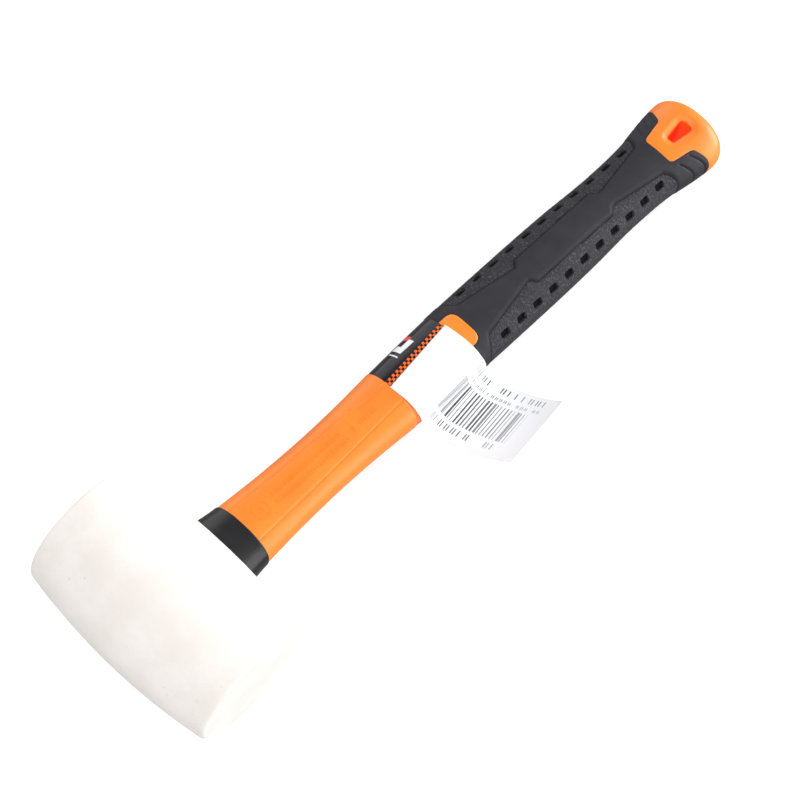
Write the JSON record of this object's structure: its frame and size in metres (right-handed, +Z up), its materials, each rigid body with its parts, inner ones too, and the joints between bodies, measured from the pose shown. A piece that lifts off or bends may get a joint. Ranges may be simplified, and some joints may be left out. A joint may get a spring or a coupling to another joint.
{
  "type": "rubber mallet",
  "caption": "Rubber mallet lying on its side: white barrel-shaped rubber head, black collar, orange plastic handle with a black soft grip, hanging hole and a paper price label.",
  "frame": {"origin": "on the surface that the mallet lies on, under the middle of the whole mallet", "axes": "+X along the head, +Y along the handle from the head to the end cap, +Z up from the surface; the handle leans 3.5 degrees down towards its cap"},
  "size_m": [0.0994, 0.3549, 0.063],
  "materials": {
    "white_rubber": "matte moulded rubber with faint scuffs",
    "black_collar": "satin moulded plastic",
    "fibreglass": "cut end of a pultruded glass-fibre rod",
    "epoxy": "cast resin",
    "orange_plastic": "satin moulded polypropylene",
    "black_soft_grip": "matte thermoplastic rubber with stippled side panels",
    "printed_film": "gloss printed film with a small checked border",
    "white_label": null
  },
  "bodies": {
    "root": {"head": "white_rubber", "collar": "black_collar", "core_rod": "fibreglass", "eye_bond": "epoxy", "handle_jacket": "orange_plastic", "grip_cover": "black_soft_grip", "wrap_label": "printed_film", "price_label": "white_label"}
  },
  "joints": []
}
